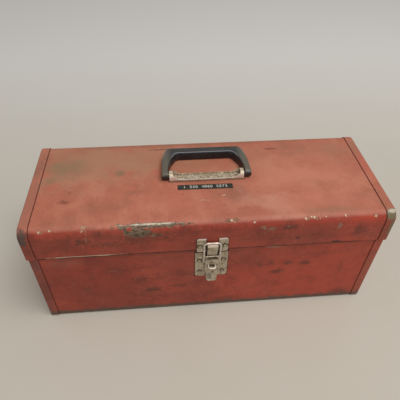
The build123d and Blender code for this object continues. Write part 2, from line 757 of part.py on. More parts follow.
pieces = {
    "body_wrapper": body_wrapper() - front_wall_holes - rear_wall_holes,
    "body_end_left": left_end,
    "body_end_right": right_end,
    "lid_wrapper": lid_wrapper() - lid_holes,
    "lid_end_left": left_lid_end,
    "lid_end_right": right_lid_end,
    "hinge_leaf_body": body_leaf(),
    "hinge_leaf_lid": lid_leaf(),
    "hinge_pin": rod_x(-hinge_end, hinge_end, pin_y, seam_z, pin_radius),
    "hinge_rivets_body": rivets(body_hinge_places, rear_grip, *hinge_rivet_sizes),
    "hinge_rivets_lid": rivets(lid_hinge_places, rear_grip, *hinge_rivet_sizes),
    "latch_keeper": keeper(),
    "latch_keeper_rivets": rivets(keeper_rivet_places, front_grip, *latch_rivet_sizes),
    "latch_base": latch_base(),
    "latch_base_rivets": rivets(base_rivet_places, front_grip, *latch_rivet_sizes),
    "latch_base_studs": rivets(base_stud_places, front_grip, *latch_stud_sizes),
    "latch_lever": lever(),
    "latch_lever_pin": lever_pin(),
    "latch_loop": loop(),
    "padlock_staple": staple(),
    "carry_handle": handle(),
    "handle_pins": handle_pins(),
    "handle_base": handle_base(),
    "handle_base_rivets": rivets(handle_base_places, top_grip, *handle_rivet_sizes),
    "handle_backing_plate": backing_plate(),
    "label_tape": label(),
    "tray_pan": tray_pan(),
    "tray_divider_left": left_divider,
    "tray_divider_right": right_divider,
    "tray_handle": tray_handle(),
    "tray_handle_rivets": rivets(tray_handle_places, tray_grip, *tray_rivet_sizes),
    "tray_rest_left": left_rest,
    "tray_rest_right": right_rest,
}

for name, shape in pieces.items():
    export_step(shape, f"parts/{name}.step")
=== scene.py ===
# A folded sheet-steel tool box in worn red enamel, with a nickel-plated draw latch, a black
# fold-flat carry handle and a lift-out tray. Metres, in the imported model's own frame.
import math
import bpy
import mathutils
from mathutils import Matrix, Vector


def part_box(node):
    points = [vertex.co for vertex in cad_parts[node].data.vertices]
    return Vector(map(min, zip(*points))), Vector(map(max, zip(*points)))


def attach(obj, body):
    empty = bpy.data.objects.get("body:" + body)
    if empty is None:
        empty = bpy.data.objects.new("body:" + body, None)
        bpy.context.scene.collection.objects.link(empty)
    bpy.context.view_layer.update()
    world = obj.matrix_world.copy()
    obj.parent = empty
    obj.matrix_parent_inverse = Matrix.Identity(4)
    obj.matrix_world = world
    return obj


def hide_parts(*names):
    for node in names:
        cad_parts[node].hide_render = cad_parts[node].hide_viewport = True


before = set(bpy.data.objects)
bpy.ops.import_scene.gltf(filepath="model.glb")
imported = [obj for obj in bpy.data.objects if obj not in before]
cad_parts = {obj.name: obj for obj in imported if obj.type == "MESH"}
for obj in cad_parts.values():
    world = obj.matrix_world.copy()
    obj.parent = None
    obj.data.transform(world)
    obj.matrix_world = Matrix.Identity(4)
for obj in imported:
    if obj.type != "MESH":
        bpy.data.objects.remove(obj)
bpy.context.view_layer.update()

# ---- Body wrapper ----
# One 0.9 mm steel sheet folded into a trough, its rim hemmed inwards. Sprayed with red enamel
# that years of use have dulled, smudged and scratched; slightly dented between its stiff ends.

mm = 0.001
sheet = 0.9 * mm


def light_of(tint):
    """A colour as the eye sees it, three levels of 0 to 255, as the light that it reflects."""
    shares = [level / 255 for level in tint]
    return (*(s / 12.92 if s < 0.04045 else ((s + 0.055) / 1.055) ** 2.4 for s in shares), 1.0)


def smooth(value, low, high):
    """0 below low, 1 above high and an S-curve between them."""
    share = min(max((value - low) / (high - low), 0.0), 1.0)
    return share * share * (3 - 2 * share)


class Finish:
    """A surface finish, mixed from noise and marks that keep their place on the piece.

    Its calls give levels, numbers that vary over the surface. Places and sizes are in
    millimetres, and colours are three levels of 0 to 255.
    """

    def __init__(self, name):
        self.material = bpy.data.materials.new(name)
        self.material.use_nodes = True
        self.tree = self.material.node_tree
        self.shader = self.tree.nodes["Principled BSDF"]
        here = self.tree.nodes.new("ShaderNodeTexCoord")
        self.place = here.outputs["Object"]
        self.facing = here.outputs["Normal"]

    def node(self, kind, inputs, output=0, **settings):
        made = self.tree.nodes.new(kind)
        for key, value in settings.items():
            setattr(made, key, value)
        for key, value in inputs.items():
            if isinstance(value, bpy.types.NodeSocket):
                self.tree.links.new(value, made.inputs[key])
            else:
                made.inputs[key].default_value = value
        return made.outputs[output]

    def worked(self, how, level, *others):
        for other in others:
            level = self.node("ShaderNodeMath", {0: level, 1: other}, operation=how)
        return level

    def sum_of(self, *levels):
        return self.worked("ADD", *levels)

    def product(self, *levels):
        return self.worked("MULTIPLY", *levels)

    def larger(self, *levels):
        return self.worked("MAXIMUM", *levels)

    def less(self, a, b):
        return self.worked("SUBTRACT", a, b)

    def size_of(self, level):
        return self.node("ShaderNodeMath", {0: level}, operation="ABSOLUTE")

    def ramp(self, value, low, high):
        """0 where value is low, 1 where it is high; low may be the larger number."""
        if low > high:
            return self.less(1.0, self.ramp(value, high, low))
        inputs = {"Value": value, "From Min": low, "From Max": high}
        return self.node("ShaderNodeMapRange", inputs, interpolation_type="SMOOTHSTEP")

    def span(self, value, low, high):
        """A value from low to high as a 0 to 1 value rises."""
        inputs = {"Value": value, "To Min": low, "To Max": high}
        return self.node("ShaderNodeMapRange", inputs)

    def vector(self, how, a, b):
        return self.node("ShaderNodeVectorMath", {0: a, 1: b}, operation=how)

    def axis(self, name):
        """The place along X, Y or Z in the box's frame, in metres."""
        return self.node("ShaderNodeSeparateXYZ", {0: self.place}, output="XYZ".index(name))

    def along(self, name, low, high, wander=0.0):
        """0 to 1 between two places along X, Y or Z; wander is an offset that makes it ragged."""
        return self.ramp(self.sum_of(self.axis(name), wander), low * mm, high * mm)

    def aside(self, low, high, wander=0.0):
        """0 to 1 between two distances from the box's middle, to either side."""
        out = self.sum_of(self.size_of(self.axis("X")), wander)
        return self.ramp(out, low * mm, high * mm)

    def beside(self, x, outer, inner, wander=0.0):
        """A line at a distance x on either side of the middle, dark within inner of it."""
        out = self.sum_of(self.size_of(self.axis("X")), wander)
        return self.ramp(self.size_of(self.less(out, x * mm)), outer * mm, inner * mm)

    def up(self):
        """How far the surface faces up, -1 to 1."""
        return self.node("ShaderNodeSeparateXYZ", {0: self.facing}, output=2)

    def stretched(self, stretch, shift=0.0):
        scaled = self.vector("MULTIPLY", self.place, stretch)
        return self.vector("ADD", scaled, (shift, shift * 0.7, shift * 1.3))

    def noise(self, size, detail=3.0, rough=0.55, stretch=(1, 1, 1), shift=0.0):
        """Soft noise with patches about size millimetres across, 0 to 1, mostly near 0.5."""
        inputs = {
            "Vector": self.stretched(stretch, shift),
            "Scale": 1 / (size * mm),
            "Detail": detail,
            "Roughness": rough,
        }
        return self.node("ShaderNodeTexNoise", inputs)

    def specks(self, size, low, high, stretch=(1, 1, 1), shift=0.0, detail=2.0):
        """Separate patches where noise of that size rises above low."""
        return self.ramp(self.noise(size, detail, 0.6, stretch, shift), low, high)

    def hairlines(self, size, stretch, shift, width=0.006):
        """Fine scratches: the lines where stretched noise crosses its middle, broken up."""
        wander = self.noise(size, 1.0, 0.5, stretch, shift)
        line = self.ramp(self.size_of(self.less(wander, 0.5)), width, 0.0)
        broken = self.specks(size * 0.7, 0.54, 0.6, (1, 1, 1), shift + 3)
        return self.product(line, broken)

    def far(self, x, y, z, rx=1, ry=1, rz=1):
        """How far the surface is from a place, in millimetres or in the radii given."""
        away = self.vector("ADD", self.place, (-x * mm, -y * mm, -z * mm))
        sized = self.vector("MULTIPLY", away, (1 / (rx * mm), 1 / (ry * mm), 1 / (rz * mm)))
        return self.node("ShaderNodeVectorMath", {0: sized}, output="Value", operation="LENGTH")

    def blot(self, x, y, z, rx, ry, rz, ragged=0.5, edge=0.35, grain=5.0):
        """A ragged patch round one place, with a radius along each axis."""
        wobble = self.product(self.less(self.noise(grain, 3.0, 0.65), 0.5), ragged * 4)
        out = self.sum_of(self.far(x, y, z, rx, ry, rz), wobble)
        return self.ramp(out, 1.0 + edge, 1.0 - edge)

    def mix(self, factor, below, above):
        """One colour over another, as far as the factor says."""
        tints = [light_of(tint) if isinstance(tint, tuple) else tint for tint in (below, above)]
        inputs = {0: factor, 6: tints[0], 7: tints[1]}
        return self.node("ShaderNodeMix", inputs, output=2, data_type="RGBA")

    def relief(self, height, depth):
        """Turns a 0 to 1 height into shallow relief; depth in millimetres."""
        normal = self.node("ShaderNodeBump", {"Height": height, "Distance": depth * mm})
        self.tree.links.new(normal, self.shader.inputs["Normal"])

    def apply(self, **sockets):
        """Sets or links the shader's own sockets."""
        for key, value in sockets.items():
            socket = self.shader.inputs[key.replace("_", " ")]
            if isinstance(value, bpy.types.NodeSocket):
                self.tree.links.new(value, socket)
            else:
                socket.default_value = value
        return self.material


def coat(material, *node_names):
    """Gives CAD pieces a finish, on every material slot they have."""
    for name in node_names:
        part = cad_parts[name]
        if not part.material_slots:
            part.data.materials.append(material)
        for place in part.material_slots:
            place.material = material


def piece(name, mesh_parts, material, body, stands_for, fold=35.0):
    """One visible piece on its body, smooth but for folds sharper than that many degrees."""
    mesh = bpy.data.meshes.new(name)
    mesh.from_pydata(mesh_parts[0], [], mesh_parts[1])
    mesh.validate()
    mesh.materials.append(material)
    for face in mesh.polygons:
        face.use_smooth = True
    mesh.set_sharp_from_angle(angle=math.radians(fold))
    made = bpy.data.objects.new(name, mesh)
    bpy.context.scene.collection.objects.link(made)
    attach(made, body)
    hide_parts(stands_for)


fresh_red = (178, 70, 50)
dull_red = (158, 65, 49)
dusty_red = (184, 113, 90)
deep_red = (128, 50, 38)
chalky_red = (200, 130, 106)
brown_dust = (156, 100, 77)
green_grime = (122, 110, 82)
brown_grime = (92, 54, 42)
primer = (212, 196, 164)
# Dark colour for dirt lines and for painted shadow lines.
dirt_and_shadow_line = (44, 30, 26)


def worn_enamel(name, light=0.0, dusty=1.0, grime_and_painted_light=(), smudges=(), chips=(), dirt_and_shadow_lines=None, wear_and_highlight=None):
    """Red enamel on steel: mottled, dusty where it faces up, with marks at given places, among them
    painted light and shade, painted shadow lines and painted highlights.
    """
    finish = Finish(name)
    broad = finish.noise(110, 2.0, 0.5)
    mottle = finish.noise(24, 5.0, 0.62, shift=2.0)
    grain = finish.noise(3.0, 3.0, 0.6, shift=5.0)
    base = finish.mix(finish.ramp(broad, 0.36, 0.64), dull_red, fresh_red)
    base = finish.mix(finish.product(finish.ramp(mottle, 0.44, 0.7), 0.75), base, deep_red)
    upward = finish.ramp(finish.up(), 0.6, 0.97)
    film = finish.product(upward, finish.span(mottle, 1.02 * dusty, 0.66 * dusty))
    base = finish.mix(finish.sum_of(film, light), base, dusty_red)
    cloudy = finish.specks(46, 0.47, 0.66, (1, 0.7, 1), shift=7.0, detail=5.0)
    base = finish.mix(finish.product(cloudy, finish.span(upward, 0.06, 0.62)), base, chalky_red)
    browned = finish.specks(58, 0.5, 0.66, (0.8, 1, 1), shift=21.0, detail=5.0)
    base = finish.mix(finish.product(browned, finish.span(upward, 0.05, 0.5)), base, brown_dust)
    rubbed_and_highlight = finish.specks(30, 0.56, 0.74, (0.45, 1, 1.7), shift=12.0, detail=6.0)
    base = finish.mix(finish.product(rubbed_and_highlight, finish.span(upward, 0.34, 0.16)), base, brown_grime)
    specked = finish.specks(4.2, 0.61, 0.7, shift=9.0, detail=3.0)
    base = finish.mix(finish.product(specked, 0.42), base, brown_grime)
    base = finish.mix(finish.product(finish.specks(2.0, 0.66, 0.73, shift=4.0), 0.3), base, primer)
    soiled_and_painted_light = 0.0
    # Grime patches; two on the body's front are painted light and painted shade.
    for *spot, strength, tint in grime_and_painted_light:
        patch = finish.product(finish.blot(*spot, 0.7, 0.8, 24), strength)
        base = finish.mix(patch, base, tint)
        soiled_and_painted_light = finish.larger(soiled_and_painted_light, patch)
    for *spot, strength in smudges:
        patch = finish.product(finish.blot(*spot, 0.95, 0.6, 6), strength)
        base = finish.mix(patch, base, brown_grime)
        soiled_and_painted_light = finish.larger(soiled_and_painted_light, patch)
    scratches = finish.larger(
        finish.hairlines(34, (0.3, 1, 1), 1.0), finish.hairlines(26, (1, 0.4, 0.4), 8.0)
    )
    base = finish.mix(finish.product(scratches, 0.06), base, primer)
    bare_and_highlight = 0.0
    for *spot, tint in chips:
        core = finish.blot(*spot, 1.9, 0.2, 1.3)
        base = finish.mix(core, base, tint)
        bare_and_highlight = finish.larger(bare_and_highlight, core)
    # Wear marks; on the lid they include a painted highlight along its lower edge.
    if wear_and_highlight is not None:
        wear_and_highlight_mask, wear_and_highlight_tint = wear_and_highlight(finish)
        base = finish.mix(wear_and_highlight_mask, base, wear_and_highlight_tint)
        bare_and_highlight = finish.larger(bare_and_highlight, wear_and_highlight_mask)
    # Dirt lines, and painted shadow lines, in the dark dirt colour.
    if dirt_and_shadow_lines is not None:
        dark = dirt_and_shadow_lines(finish)
        base = finish.mix(dark, base, dirt_and_shadow_line)
        soiled_and_painted_light = finish.larger(soiled_and_painted_light, dark)
    shine = finish.span(grain, 0.36, 0.56)
    shine = finish.sum_of(shine, finish.product(film, 0.12), finish.product(soiled_and_painted_light, 0.2))
    height = finish.less(finish.product(grain, 0.25), bare_and_highlight)
    finish.relief(finish.less(height, finish.product(scratches, 0.1)), 0.22)
    return finish.apply(Base_Color=base, Roughness=shine, Specular_IOR_Level=0.4)


def on_wall(wall_y, rows):
    """Marks on an upright wall: X, height, half width, half height, then the rest of each row."""
    return [(x, wall_y / mm, z, rx, 9, rz, *rest) for x, z, rx, rz, *rest in rows]


body_low, body_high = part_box("body_wrapper")
body_front = body_low.y
body_rear = body_high.y
rim_z = body_high.z
seam_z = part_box("lid_wrapper")[0].z
seam = seam_z / mm
body_flange_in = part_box("body_end_right")[0].x
body_radius = 3.0 * mm
hem_height = 6.0 * mm
latch_half_width = 24 * mm


def arc(y, z, radius, start, end, count):
    """Points on a round corner, from one angle to another, in degrees."""
    turns = [math.radians(start + (end - start) * i / count) for i in range(count + 1)]
    return [(y + radius * math.cos(turn), z + radius * math.sin(turn)) for turn in turns]


def stations(start, end, step):
    """Evenly spaced places from start to end, no further apart than step."""
    count = max(1, math.ceil(abs(end - start) / step))
    return [start + (end - start) * i / count for i in range(count + 1)]


def spread(points, step):
    """The same outline with its long runs divided."""
    out = []
    for (y0, z0), (y1, z1) in zip(points, points[1:] + points[:1]):
        run = math.dist((y0, z0), (y1, z1))
        count = max(1, math.ceil(run / step))
        out += [(y0 + (y1 - y0) * i / count, z0 + (z1 - z0) * i / count) for i in range(count)]
    return out


def skinned(rings):
    """A closed skin over a row of rings that have the same number of points."""
    count = len(rings[0])
    faces = []
    for i in range(len(rings) - 1):
        for j in range(count):
            k = (j + 1) % count
            faces.append((i * count + j, i * count + k, (i + 1) * count + k, (i + 1) * count + j))
    last = (len(rings) - 1) * count
    faces.append(tuple(range(count))[::-1])
    faces.append(tuple(range(last, last + count)))
    return [point for ring in rings for point in ring], faces


def drawn_out(outline, places, moved):
    """A closed outline in Y and Z, drawn out along X; moved() shifts each point."""
    return skinned([[moved(x, y, z) for y, z in outline] for x in places])


def dent(x, z, seed, size):
    """A gentle hollow, 0 to 1, from slow noise."""
    wave = mathutils.noise.noise(mathutils.Vector((x / size, z / size, seed)))
    return smooth(wave, -0.1, 0.7)


def body_moved(x, y, z):
    """Dents the body's long walls inwards by a fraction of a millimetre between stiff edges."""
    hold = smooth(body_flange_in - abs(x), 1 * mm, 40 * mm) * smooth(z, 8 * mm, 40 * mm)
    hold *= smooth(rim_z - z, 10 * mm, 40 * mm) * smooth(abs(x), latch_half_width, 50 * mm)
    depth = 0.7 * mm * hold * dent(x, z, 3.0, 90 * mm)
    depth += 0.25 * mm * hold * dent(x, z, 11.0, 34 * mm)
    if y < body_front + 2.5 * sheet:
        return (x, y + depth, z)
    if y > body_rear - 2.5 * sheet:
        return (x, y - depth * smooth(seam_z - z, 22 * mm, 40 * mm), z)
    return (x, y, z)


def folded(front, rear, edge_z, flat_z, radius, steps):
    """A folded sheet's section, from the front wall's free edge round to the rear wall's."""
    up = 1 if flat_z > edge_z else -1
    bend_z = flat_z - up * radius
    points = [(front, edge_z)]
    points += arc(front + radius, bend_z, radius, 180, 180 - 90 * up, steps)
    points += arc(rear - radius, bend_z, radius, 90 * up, 0, steps)
    return points + [(rear, edge_z)]


outside = folded(body_front, body_rear, rim_z, body_low.z, body_radius, 5)
inside = folded(
    body_front + sheet, body_rear - sheet, rim_z - hem_height, body_low.z + sheet, body_radius - sheet, 5
)
hem_front = [(body_front + 2 * sheet, rim_z - hem_height), (body_front + 2 * sheet, rim_z)]
hem_rear = [(body_rear - 2 * sheet, rim_z), (body_rear - 2 * sheet, rim_z - hem_height)]
section = spread(outside + hem_rear + inside[::-1] + hem_front, 5 * mm)
body_mesh = drawn_out(section, stations(body_low.x, body_high.x, 4 * mm), body_moved)

front_smudges = [
    (-82, 50, 13, 5, 0.7),
    (-45, 56, 11, 4, 0.5),
    (-100, 75, 10, 6, 0.5),
    (-92, 42, 18, 9, 0.35),
    (-165, 85, 4, 3, 0.5),
    (-175, 62, 5, 4, 0.4),
    (-190, 80, 4, 3, 0.35),
    (-40, 84, 26, 6, 0.22),
    (-130, 98, 14, 12, 0.3),
    (70, 94, 5, 6, 0.5),
    (111, 94, 6, 4, 0.6),
    (136, 93, 7, 5, 0.65),
    (97, 76, 9, 4, 0.75),
    (86, 98, 4, 4, 0.5),
    (192, 76, 3, 12, 0.3),
    (60, 108, 20, 12, 0.25),
    (206, 14, 13, 7, 0.6),
    (156, 112, 30, 5, 0.2),
    (-30, 28, 60, 14, 0.22),
    (20, 14, 26, 6, 0.4),
]
rear_smudges = [(120, 60, 40, 14, 0.4), (-90, 90, 60, 12, 0.35), (30, 30, 26, 10, 0.4)]
body_smudges = on_wall(body_front, front_smudges) + on_wall(body_rear, rear_smudges)
body_grime_and_painted_light = on_wall(body_front, [
    (-196, 122, 20, 8, 0.3, (176, 130, 112)),
    (86, 133, 10, 2.4, 0.8, (178, 140, 120)),
    # Painted light and shade: a paler red over the right half of the front wall, a darker red over the
    # left half.
    (170, 70, 90, 70, 0.5, (186, 78, 56)),
    (-190, 70, 80, 90, 0.5, (134, 52, 40)),
])


def body_wear(finish):
    """Worn, greasy metal along the bottom edge."""
    ragged = finish.product(finish.less(finish.noise(12, 5.0, 0.7, shift=6.0), 0.52), 22 * mm)
    return finish.product(finish.along("Z", 12.5, 8, ragged), 0.85), (88, 76, 64)


def body_dirt_and_shadow_lines(finish):
    """Dirt packed by the end flanges and round the latch's base plate, and a painted shadow under the
    lid's edge.
    """
    flanges = finish.product(finish.beside(body_flange_in / mm, 1.6, 0.5), 0.8)
    ragged = finish.product(finish.less(finish.noise(20, 3.0, 0.6, shift=3.0), 0.5), 4 * mm)
    # Painted shadow cast by the lid's overhang, along the body just below the lid's edge.
    lid_edge_shadow = finish.product(finish.along("Z", seam - 4.6, seam - 2.6, ragged), 0.8)
    around = finish.product(finish.aside(24.4, 22.8), finish.along("Z", seam - 60.8, seam - 59.2))
    front_only = finish.along("Y", 0, -1)
    return finish.larger(flanges, lid_edge_shadow, finish.product(around, front_only, 0.72))


body_enamel = worn_enamel(
    "body_enamel", grime_and_painted_light=body_grime_and_painted_light, smudges=body_smudges, wear_and_highlight=body_wear, dirt_and_shadow_lines=body_dirt_and_shadow_lines
)
piece("body_wrapper_folded", body_mesh, body_enamel, "root", "body_wrapper")

# ---- Body ends ----
# Two pressed steel panels whose flanges fold round the wrapper and are spot-welded to it. The
# flanges have lost more of their red than the wrapper, and their corners are rubbed to metal.


def end_wear(finish):
    """Bare, greyish metal along the foot and the upright corners of an end."""
    ragged = finish.product(finish.less(finish.noise(9, 4.0, 0.7, shift=2.0), 0.5), 14 * mm)
    slight = finish.product(ragged, 0.3)
    foot = finish.product(finish.along("Z", 15, 10, ragged), 0.8)
    across = finish.size_of(finish.less(finish.axis("Y"), (body_front + body_rear) / 2))
    wall = (body_rear - body_front) / 2
    corner = finish.ramp(finish.sum_of(across, slight), wall - mm, wall + mm)
    bend = finish.aside(239.0, 240.4, slight)
    return finish.larger(foot, finish.product(bend, corner, 0.6)), (98, 80, 68)


flange_grime = [
    (-234, -84, 70, 12, 20, 64, 0.6, (104, 60, 50)),
    (-234, -84, 126, 12, 20, 16, 0.5, (84, 64, 62)),
    (234, -84, 60, 12, 20, 50, 0.35, (150, 92, 72)),
    (240, 0, 90, 12, 60, 40, 0.25, (150, 110, 90)),
    (-240, 20, 60, 12, 50, 30, 0.3, (120, 84, 70)),
]
end_smudges = [
    (240, -30, 60, 6, 30, 10, 0.5),
    (240, 40, 100, 6, 18, 14, 0.4),
    (-240, -20, 90, 6, 34, 8, 0.45),
    (-240, 50, 40, 6, 16, 16, 0.45),
]
body_end_enamel = worn_enamel(
    "body_end_enamel", light=0.1, grime_and_painted_light=flange_grime, smudges=end_smudges, wear_and_highlight=end_wear
)
coat(body_end_enamel, "body_end_left", "body_end_right")

# ---- Tray rests ----
# A folded steel angle at each end, spot-welded inside the body. The tray stands on them.

inner_enamel = worn_enamel("inner_enamel", dusty=0.35)
coat(inner_enamel, "tray_rest_left", "tray_rest_right")

# ---- Piano hinge ----
# Two thin steel leaves rolled round one long wire pin, riveted to the outside of the body's rear
# wall and the inside of the lid's. The steel is dull zinc, stained brown in the knuckles.

def plated_metal(
    name, bright, dark, tarnish, rough, pits, scale, metal, rings=(), grime_and_painted_light=None, rubbed_and_highlight=None
):
    """Thin plating over steel: cloudy, with brown tarnish, dark pits, grime round its rivets, further
    grime and painted shade where given, and painted highlights where given.
    """
    finish = Finish(name)
    cloud = finish.noise(7 * scale, 4.0, 0.6)
    fine = finish.noise(1.1 * scale, 3.0, 0.65, shift=4.0)
    base = finish.mix(finish.ramp(cloud, 0.32, 0.66), dark, bright)
    stain = finish.specks(4 * scale, 0.52, 0.7, shift=2.0, detail=4.0)
    base = finish.mix(finish.product(stain, 0.5), base, tarnish)
    pits_grime_and_shade = finish.product(finish.specks(1.3 * scale, 0.6, 0.68, shift=6.0), pits)
    wander = finish.product(finish.less(cloud, 0.5), 2.0)
    for *middle, radius in rings:
        off = finish.size_of(finish.less(finish.sum_of(finish.far(*middle), wander), radius))
        pits_grime_and_shade = finish.larger(pits_grime_and_shade, finish.product(finish.ramp(off, 0.95, 0.5), 0.95))
    if grime_and_painted_light is not None:
        pits_grime_and_shade = finish.larger(pits_grime_and_shade, grime_and_painted_light(finish))
    base = finish.mix(pits_grime_and_shade, base, (48, 36, 28))
    # Painted highlights where given, in a near-white tint.
    if rubbed_and_highlight is not None:
        base = finish.mix(rubbed_and_highlight(finish), base, (240, 226, 214))
    shine = finish.sum_of(finish.span(fine, rough - 0.06, rough + 0.14), finish.product(stain, 0.2))
    finish.relief(finish.less(finish.product(fine, 0.3), pits_grime_and_shade), 0.12)
    return finish.apply(Base_Color=base, Roughness=shine, Metallic=metal)


hinge_steel = plated_metal(
    "hinge_steel", (176, 170, 160), (132, 124, 112), (116, 86, 62),
    rough=0.4, pits=0.4, scale=1.6, metal=0.75,
)
coat(hinge_steel, "hinge_leaf_body", "hinge_leaf_lid", "hinge_pin")


def turned(profile, steps=24):
    """A shape turned on a lathe about Z from (radius, height) points, first and last on the axis."""
    vertices = [(0.0, 0.0, profile[0][1])]
    rings = profile[1:-1]
    for radius, height in rings:
        for i in range(steps):
            turn = 2 * math.pi * i / steps
            vertices.append((radius * math.cos(turn), radius * math.sin(turn), height))
    vertices.append((0.0, 0.0, profile[-1][1]))
    last = len(vertices) - 1
    faces = []
    for i in range(steps):
        j = (i + 1) % steps
        faces.append((0, 1 + j, 1 + i))
        for ring in range(len(rings) - 1):
            a = 1 + ring * steps
            b = a + steps
            faces.append((a + i, a + j, b + j, b + i))
        a = 1 + (len(rings) - 1) * steps
        faces.append((last, a + i, a + j))
    return vertices, faces


def rivet_profile(head, rise, shank, grip, dished):
    """Both heads and the shank of one rivet; a dished outer head is a rolled tubular rivet."""
    inner = [(0.0, -grip - rise), (head * 0.6, -grip - rise * 0.95), (head * 0.92, -grip - rise * 0.6)]
    inner += [(head, -grip - rise * 0.2), (head * 0.97, -grip), (shank, -grip), (shank, 0.0)]
    outer = [(head * 0.98, 0.0), (head, rise * 0.25), (head * 0.9, rise * 0.7), (head * 0.74, rise)]
    if dished:
        outer += [(head * 0.56, rise * 0.86), (head * 0.44, rise * 0.3), (head * 0.2, rise * 0.22)]
        outer.append((0.0, rise * 0.28))
    else:
        outer += [(head * 0.4, rise * 1.12), (head * 0.15, rise * 1.16), (0.0, rise * 1.17)]
    return inner + outer


def rivet_row(node, places, turn, profile, material, body):
    """Like rivets in one piece, each turned to stand out of its sheet at its place."""
    base_vertices, base_faces = turned(profile)
    vertices = []
    faces = []
    for index, place in enumerate(places):
        spin = mathutils.Matrix.Rotation(index * 1.7, 3, "Z")
        start = len(vertices)
        for vertex in base_vertices:
            vertices.append(tuple(turn @ (spin @ mathutils.Vector(vertex)) + mathutils.Vector(place)))
        faces += [tuple(start + i for i in face) for face in base_faces]
    piece(node + "_turned", (vertices, faces), material, body, node, 50)


face_front = mathutils.Matrix.Rotation(math.radians(90), 3, "X")
face_rear = mathutils.Matrix.Rotation(math.radians(-90), 3, "X")
face_up = mathutils.Matrix.Identity(3)
hinge_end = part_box("hinge_leaf_body")[1].x
hinge_rivets = 6
hinge_pitch = 2 * hinge_end / hinge_rivets
hinge_xs = [hinge_pitch * (i + 0.5) - hinge_end for i in range(hinge_rivets)]
leaf_thickness = 0.8 * mm
body_rivet_z = seam_z - 12 * mm
lid_rivet_z = seam_z + 10.2 * mm
lid_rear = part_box("lid_wrapper")[1].y
hinge_profile = rivet_profile(2.8 * mm, 0.56 * mm, 1.5 * mm, sheet + leaf_thickness, False)
rivet_row(
    "hinge_rivets_body", [(x, body_rear + leaf_thickness, body_rivet_z) for x in hinge_xs],
    face_rear, hinge_profile, hinge_steel, "root",
)
rivet_row(
    "hinge_rivets_lid", [(x, lid_rear, lid_rivet_z) for x in hinge_xs],
    face_rear, hinge_profile, hinge_steel, "lid",
)

# ---- Latch ----
# A nickel-plated draw latch in five pressed pieces: base plate, lever, wire loop, padlock staple
# and the lever's pin. Four tubular rivets hold the base. The plating is dull, stained and pitted.

latch_wall = body_front / mm
base_rivet = (16.6, seam - 24.0)
base_stud = (15.5, seam - 48.0)
keeper_rivet = (16.8, seam + 8.6)
latch_head = 3.1
latch_rings = []
for side in (-1, 1):
    latch_rings.append((side * base_rivet[0], latch_wall - 1.6, base_rivet[1], latch_head + 0.1))
    latch_rings.append((side * keeper_rivet[0], latch_wall - 4.2, keeper_rivet[1], latch_head + 0.1))
    latch_rings.append((side * base_stud[0], latch_wall - 1.6, base_stud[1], 2.5))


def latch_grime_and_shade(finish):
    """Painted shade with black grime in the gap along both sides of the hook, and black grime under the
    loop and below the hook.
    """
    wander = finish.product(finish.less(finish.noise(4, 3.0, 0.6, shift=9.0), 0.5), 1.6 * mm)
    # Painted shade and grime in the gap between the hook and the wire loop.
    beside = finish.product(
        finish.beside(8.0, 1.7, 0.9, wander),
        finish.along("Z", seam + 15.5, seam + 14.0),
        finish.along("Z", seam - 33, seam - 30),
        finish.along("Y", latch_wall - 6.2, latch_wall - 5.0),
        0.9,
    )
    hollow = finish.blot(-2.5, latch_wall - 8, seam - 50, 3.6, 6, 6, 0.5, 0.5, 4)
    slit = finish.blot(1, latch_wall - 8, seam - 43.4, 2.6, 6, 1.0, 0.5, 0.3, 2)
    stamped = finish.blot(-1, latch_wall - 7, seam - 22.6, 4.2, 6, 1.5, 1.2, 0.3, 2)
    return finish.larger(
        beside, finish.product(hollow, 0.5), finish.product(slit, 0.8), finish.product(stamped, 0.55)
    )


def latch_painted_highlights(finish):
    """Painted highlights along edges: the ears, the keeper's lower edge, the hook and the thumb tab."""
    ears = finish.along("Z", seam + 20.0, seam + 20.8)
    keeper_edge = finish.product(
        finish.along("Z", seam - 0.6, seam - 1.2),
        finish.along("Z", seam - 3.0, seam - 2.6),
        finish.aside(9.5, 11),
        0.6,
    )
    hook = finish.product(finish.along("Z", seam + 12.4, seam + 13.2), finish.aside(7.4, 7.0), 0.8)
    tab = finish.product(
        finish.along("Z", seam - 57.0, seam - 58.4),
        finish.specks(5, 0.4, 0.5),
        finish.along("Y", latch_wall - 6, latch_wall - 8),
        0.6,
    )
    return finish.product(finish.larger(ears, keeper_edge, hook, tab), 0.85)


nickel = plated_metal(
    "dull_nickel", (206, 192, 168), (160, 145, 122), (112, 92, 68),
    rough=0.34, pits=0.75, scale=0.8, metal=0.4,
    rings=latch_rings, grime_and_painted_light=latch_grime_and_shade, rubbed_and_highlight=latch_painted_highlights,
)
bright_nickel = plated_metal(
    "rubbed_nickel", (240, 228, 218), (206, 192, 176), (150, 130, 108),
    rough=0.3, pits=0.4, scale=0.8, metal=0.35,
)
coat(nickel, "latch_base", "latch_lever_pin", "latch_lever")
coat(bright_nickel, "padlock_staple", "latch_loop")
plate_sheet = 1.2 * mm
plate_face = body_front - plate_sheet
latch_profile = rivet_profile(latch_head * mm, 0.8 * mm, 1.6 * mm, plate_sheet + sheet, True)
stud_profile = rivet_profile(2.2 * mm, 0.7 * mm, 1.6 * mm, plate_sheet + sheet, False)


def both_sides(spot, y):
    """A pair of places at X and height in millimetres, left and right, on a face at y."""
    return [(side * spot[0] * mm, y, spot[1] * mm) for side in (-1, 1)]


rivet_row(
    "latch_base_rivets", both_sides(base_rivet, plate_face),
    face_front, latch_profile, nickel, "root",
)
rivet_row(
    "latch_base_studs", both_sides(base_stud, plate_face),
    face_front, stud_profile, nickel, "root",
)

# ---- Lid wrapper ----
# One sheet folded over two wide round corners. Its top is dusty and stained with oil, and its
# front corner is scraped and chipped to primer and bare metal where it has been knocked.

